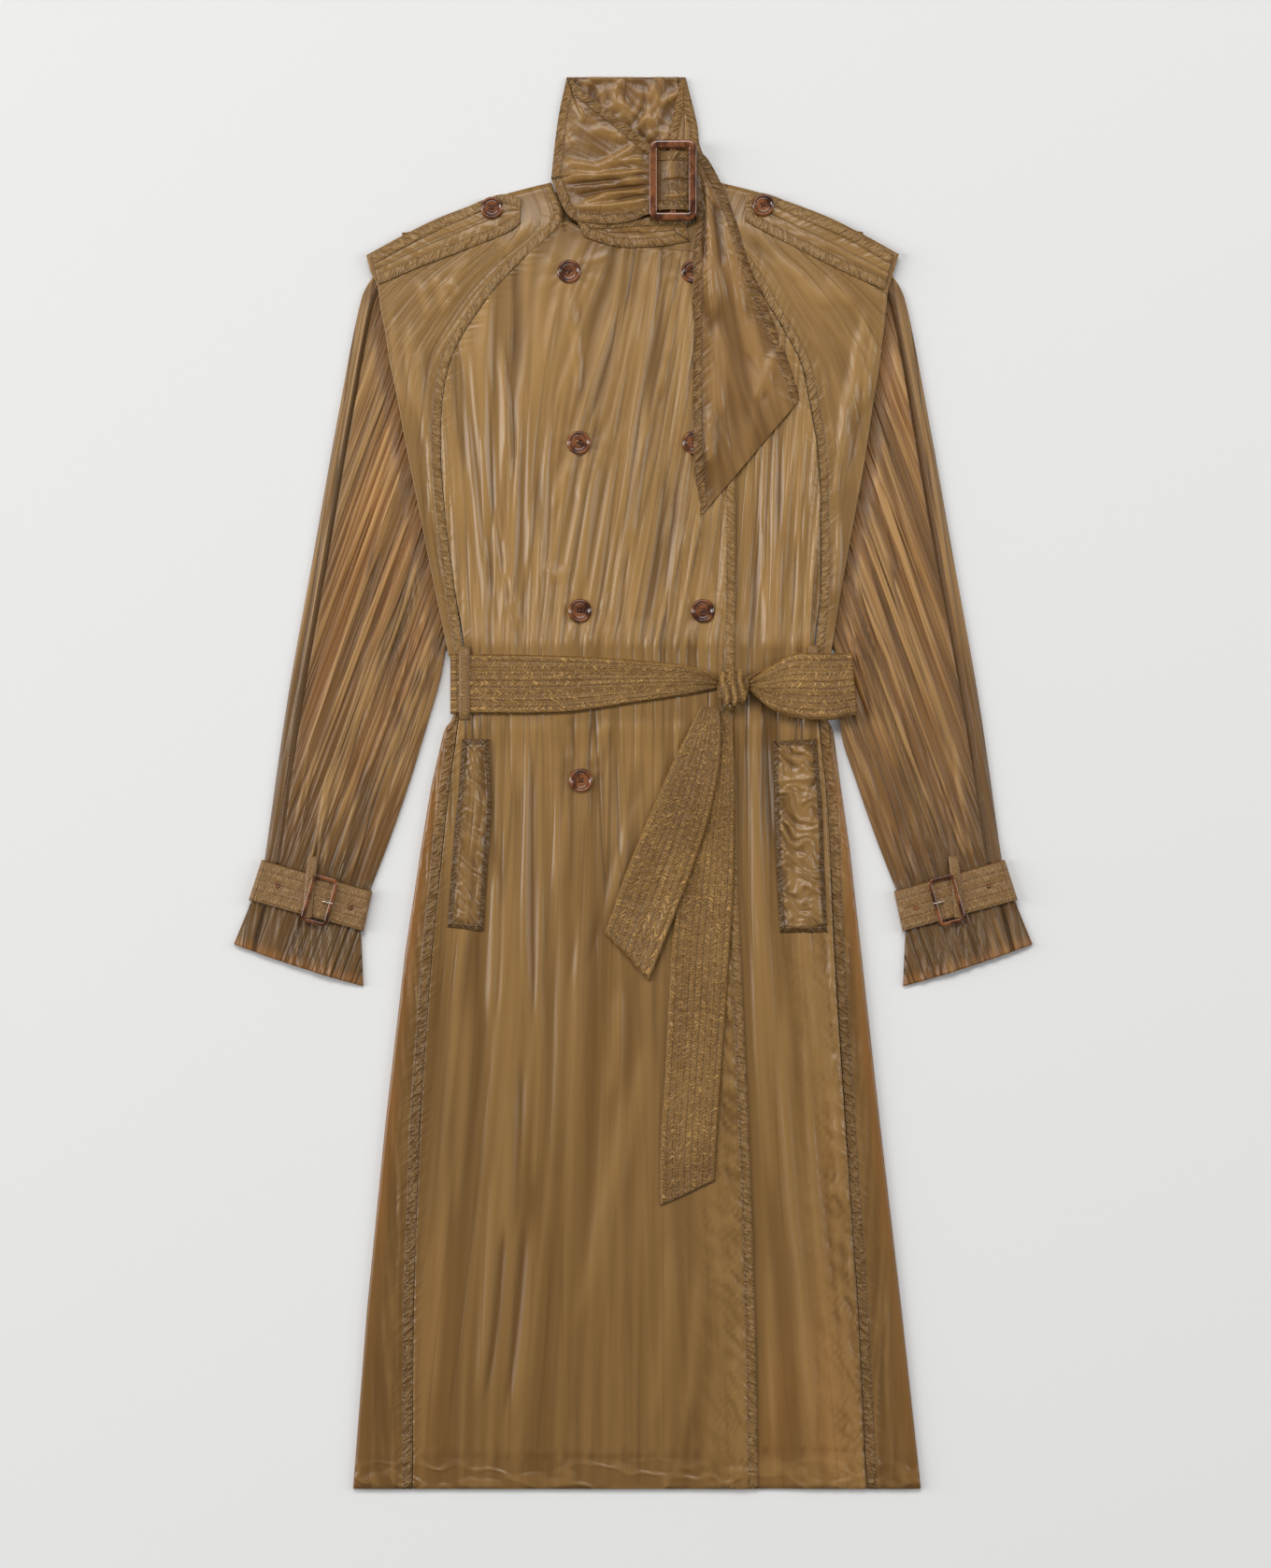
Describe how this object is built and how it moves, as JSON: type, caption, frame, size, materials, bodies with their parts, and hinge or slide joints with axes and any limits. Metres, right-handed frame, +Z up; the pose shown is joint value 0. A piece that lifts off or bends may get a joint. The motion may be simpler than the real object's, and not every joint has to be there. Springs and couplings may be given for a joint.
{
  "type": "trench coat",
  "caption": "Long trench coat of thin crinkled nylon, laid flat, with raglan shoulder panels, a buckled collar with a hanging point, a tied belt and strapped cuffs.",
  "frame": {"origin": "on the surface that the coat lies on, at the middle of its length and width", "axes": "+X towards the wearer's left, +Y from hem to collar, +Z up from the surface, out of the coat's front"},
  "size_m": [0.7344, 1.3001, 0.0286],
  "materials": {
    "nylon": "thin bronze-brown nylon with a satin sheen",
    "sleeve_nylon": "the same nylon, warmer where light comes through",
    "stitched_nylon": "nylon in two layers, closely stitched and crinkled",
    "collar_nylon": "the same nylon, satin",
    "horn": "glossy mottled brown horn plastic",
    "prong_metal": "small plated metal pin"
  },
  "bodies": {
    "root": {"front_right": "nylon", "front_left": "nylon", "wing_right": "nylon", "wing_left": "nylon", "back": "nylon", "sleeve_right": "sleeve_nylon", "sleeve_left": "sleeve_nylon", "cuff_strap_right": "stitched_nylon", "cuff_strap_left": "stitched_nylon", "cuff_loop_right": "stitched_nylon", "cuff_loop_left": "stitched_nylon", "cuff_buckle_right": "horn", "cuff_buckle_left": "horn", "cuff_prong_right": "prong_metal", "cuff_prong_left": "prong_metal", "epaulette_right": "stitched_nylon", "epaulette_left": "stitched_nylon", "epaulette_button_right": "horn", "epaulette_button_left": "horn", "button_outer_1": "horn", "button_outer_2": "horn", "button_outer_3": "horn", "button_outer_4": "horn", "button_edge_1": "horn", "button_edge_2": "horn", "button_edge_3": "horn", "button_edge_4": "horn", "pocket_welt_right": "nylon", "pocket_welt_left": "nylon", "belt_back": "stitched_nylon", "belt_right": "stitched_nylon", "belt_left": "stitched_nylon", "belt_knot": "stitched_nylon", "belt_bow": "stitched_nylon", "belt_end_short": "stitched_nylon", "belt_end_long": "stitched_nylon", "belt_loop_right": "stitched_nylon", "belt_loop_left": "stitched_nylon", "collar_back": "collar_nylon", "collar_side": "collar_nylon", "collar_stand": "collar_nylon", "collar_wrap": "collar_nylon", "collar_end": "collar_nylon", "neck_buckle": "horn"}
  },
  "joints": []
}
